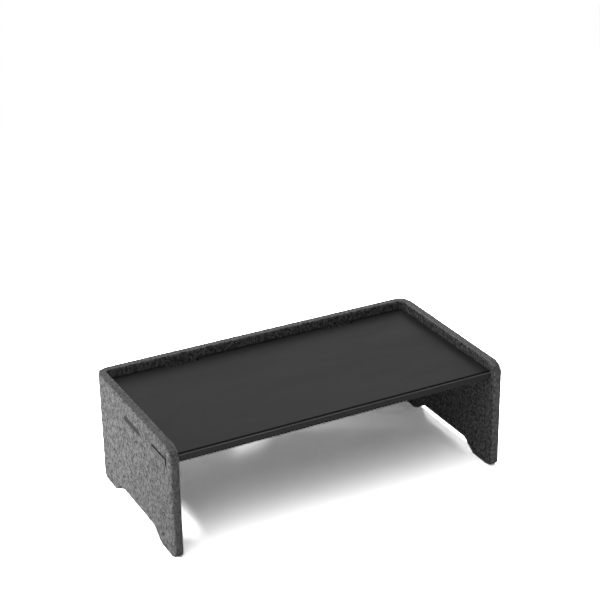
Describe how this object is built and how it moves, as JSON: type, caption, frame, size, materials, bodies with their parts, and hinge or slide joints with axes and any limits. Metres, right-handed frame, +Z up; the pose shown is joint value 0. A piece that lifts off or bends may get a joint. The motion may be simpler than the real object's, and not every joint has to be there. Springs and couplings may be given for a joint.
{
  "type": "desk monitor riser",
  "caption": "Low desk riser: a dark laminate shelf held inside a folded grey felt surround with three walls, arched feet, a raised lip and an open front bay.",
  "frame": {"origin": "on the desk plane, under the centre of the surround's bounding rectangle", "axes": "+X to the right along the open front edge, +Y from the open front to the back wall, +Z up"},
  "size_m": [0.5, 0.262, 0.162],
  "materials": {
    "felt": "speckled grey needle-punched PET felt board, matte and slightly fuzzy",
    "laminate": "satin charcoal laminate on wood fibre board",
    "edging": "satin charcoal edge band",
    "plate": "charcoal dyed fibre board, sealed cut edges",
    "steel": "zinc plated, satin",
    "badge": "blank black pressed film"
  },
  "bodies": {
    "root": {"felt_surround": "felt", "shelf_board": "laminate", "front_edge_band": "edging", "left_tongue": "plate", "right_tongue": "plate", "rear_left_tongue": "plate", "rear_right_tongue": "plate", "left_tongue_screw_1": "steel", "left_tongue_screw_2": "steel", "right_tongue_screw_1": "steel", "right_tongue_screw_2": "steel", "rear_left_tongue_screw_1": "steel", "rear_left_tongue_screw_2": "steel", "rear_right_tongue_screw_1": "steel", "rear_right_tongue_screw_2": "steel", "blank_badge": "badge"}
  },
  "joints": []
}
